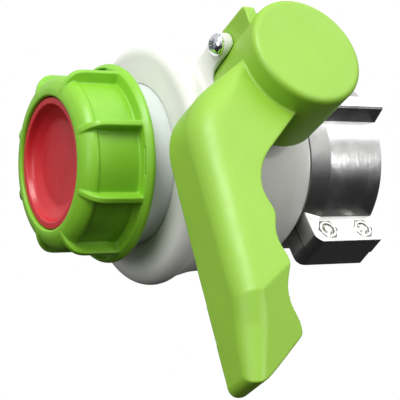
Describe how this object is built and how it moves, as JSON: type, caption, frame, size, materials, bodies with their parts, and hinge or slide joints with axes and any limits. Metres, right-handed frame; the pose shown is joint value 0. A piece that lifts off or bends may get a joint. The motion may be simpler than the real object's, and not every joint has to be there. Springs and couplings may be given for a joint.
{
  "type": "ibc tank valve",
  "caption": "Quarter-turn ball valve for a bulk liquid container: lever handle with finger grips, capped outlet with ribbed union nut, and a two-piece clamp on the tank side.",
  "frame": {"origin": "on the pipe axis in the plane of the clamp's tank-side face", "axes": "+Y along the pipe axis into the tank, -Y out of the outlet; +Z along the stem, up; the closed lever points to +X"},
  "size_m": [0.168, 0.1364, 0.1337],
  "materials": {
    "white_body": "satin moulded",
    "white_spigot": "satin moulded",
    "seal_black": "matt",
    "seat_white": "smooth",
    "ball_white": "smooth",
    "stem_white": "satin",
    "green_handle": "satin moulded",
    "green_nut": "satin moulded",
    "red_plug": "semi-gloss moulded",
    "screw_chrome": "polished",
    "clamp_metal": "polished with fine scratches",
    "bolt_steel": "bright"
  },
  "bodies": {
    "housing": {"valve_body": "white_body", "outlet_spigot": "white_spigot", "spigot_oring": "seal_black", "front_seat": "seat_white", "rear_seat": "seat_white", "front_seat_oring": "seal_black", "rear_seat_oring": "seal_black", "tank_gasket": "seal_black", "clamp_upper": "clamp_metal", "clamp_lower": "clamp_metal", "clamp_bolts_right": "bolt_steel", "clamp_bolts_left": "bolt_steel", "clamp_nuts_right": "bolt_steel", "clamp_nuts_left": "bolt_steel", "safety_screw": "screw_chrome"},
    "turning": {"handle": "green_handle", "stem": "stem_white", "ball": "ball_white", "stem_orings": "seal_black", "stem_thrust_washer": "seat_white", "handle_screw": "screw_chrome"},
    "cap": {"outlet_plug": "red_plug", "plug_gasket": "seal_black"},
    "nut": {"union_nut": "green_nut"}
  },
  "joints": [
    {"name": "handle_turn", "type": "hinge", "parent": "housing", "child": "turning", "pos_m": [0, -0.065, 0], "axis": [0, 0, -1], "range_deg": [0, 90]},
    {"name": "cap_travel", "type": "slide", "parent": "housing", "child": "cap", "axis": [0, -1, 0], "range_m": [0, 0.018]},
    {"name": "nut_spin", "type": "hinge", "parent": "cap", "child": "nut", "pos_m": [0, -0.123, 0], "axis": [0, -1, 0], "range_deg": [0, 1080]}
  ],
  "couplings": [
    {"joint": "nut_spin", "follows": "cap_travel", "rad_per_m": 1047.2}
  ]
}
